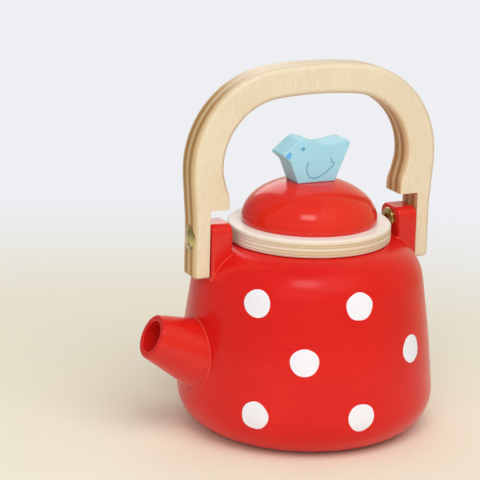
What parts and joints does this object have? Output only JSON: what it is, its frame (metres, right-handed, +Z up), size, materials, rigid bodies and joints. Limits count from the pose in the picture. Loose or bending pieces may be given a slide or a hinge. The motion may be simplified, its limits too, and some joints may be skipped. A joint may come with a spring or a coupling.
{
  "type": "wooden toy kettle",
  "caption": "Turned wooden toy kettle with a coped spout, a swinging plywood bail handle on ears, and a lift-off domed lid with a flat bird knob.",
  "frame": {"origin": "middle of the flat base, on the pot's axis", "axes": "+Z up along the pot's axis, the spout and the front ear towards -X, the handle's plane is XZ"},
  "size_m": [0.1334, 0.111, 0.1577],
  "materials": {
    "red_paint": "gloss red paint",
    "white_paint": "satin white paint",
    "birch_ply": "satin clear lacquer",
    "blue_paint": "satin blue paint",
    "dowel_beech": "plain",
    "yellow_zinc": "yellow zinc plate"
  },
  "bodies": {
    "pot": {"pot_body": "red_paint", "spout": "red_paint", "front_ear": "red_paint", "rear_ear": "red_paint", "front_ear_dowels": "dowel_beech", "rear_ear_dowels": "dowel_beech", "front_pivot_bolt": "yellow_zinc", "rear_pivot_bolt": "yellow_zinc", "front_pivot_nut": "yellow_zinc", "rear_pivot_nut": "yellow_zinc", "front_washer": "yellow_zinc", "rear_washer": "yellow_zinc"},
    "handle": {"handle": "birch_ply"},
    "lid": {"lid_disc": "birch_ply", "lid_plug": "birch_ply", "lid_dome": "red_paint", "lid_screw": "yellow_zinc", "bird_knob": "blue_paint", "bird_dowel": "dowel_beech"}
  },
  "joints": [
    {"name": "handle_swing", "type": "hinge", "parent": "pot", "child": "handle", "pos_m": [0, 0, 0.0872], "axis": [1, 0, 0], "range_deg": [-90, 90]},
    {"name": "lid_lift", "type": "slide", "parent": "pot", "child": "lid", "axis": [0, 0, 1], "range_m": [0, 0.017]}
  ]
}
